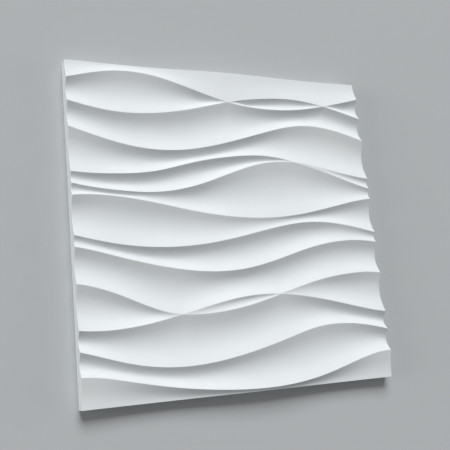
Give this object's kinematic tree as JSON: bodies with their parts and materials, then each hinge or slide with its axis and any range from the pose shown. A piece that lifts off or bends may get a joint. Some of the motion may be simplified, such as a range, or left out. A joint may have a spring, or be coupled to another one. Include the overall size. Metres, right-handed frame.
{
  "type": "3d wall panel tile",
  "caption": "Square cast plaster wall panel tile with a flat back and a face of waved scoops between sharp crest lines, seamless with its neighbours.",
  "frame": {"origin": "centre of the flat back, at the level that the tile rests on", "axes": "+X to the right along the lower edge of the face, +Y up the face as it hangs on a wall, +Z out of the wall, up as the tile lies on its back"},
  "size_m": [0.5, 0.5, 0.027],
  "materials": {
    "plaster": "matte"
  },
  "bodies": {
    "root": {"wall_panel": "plaster"}
  },
  "joints": []
}
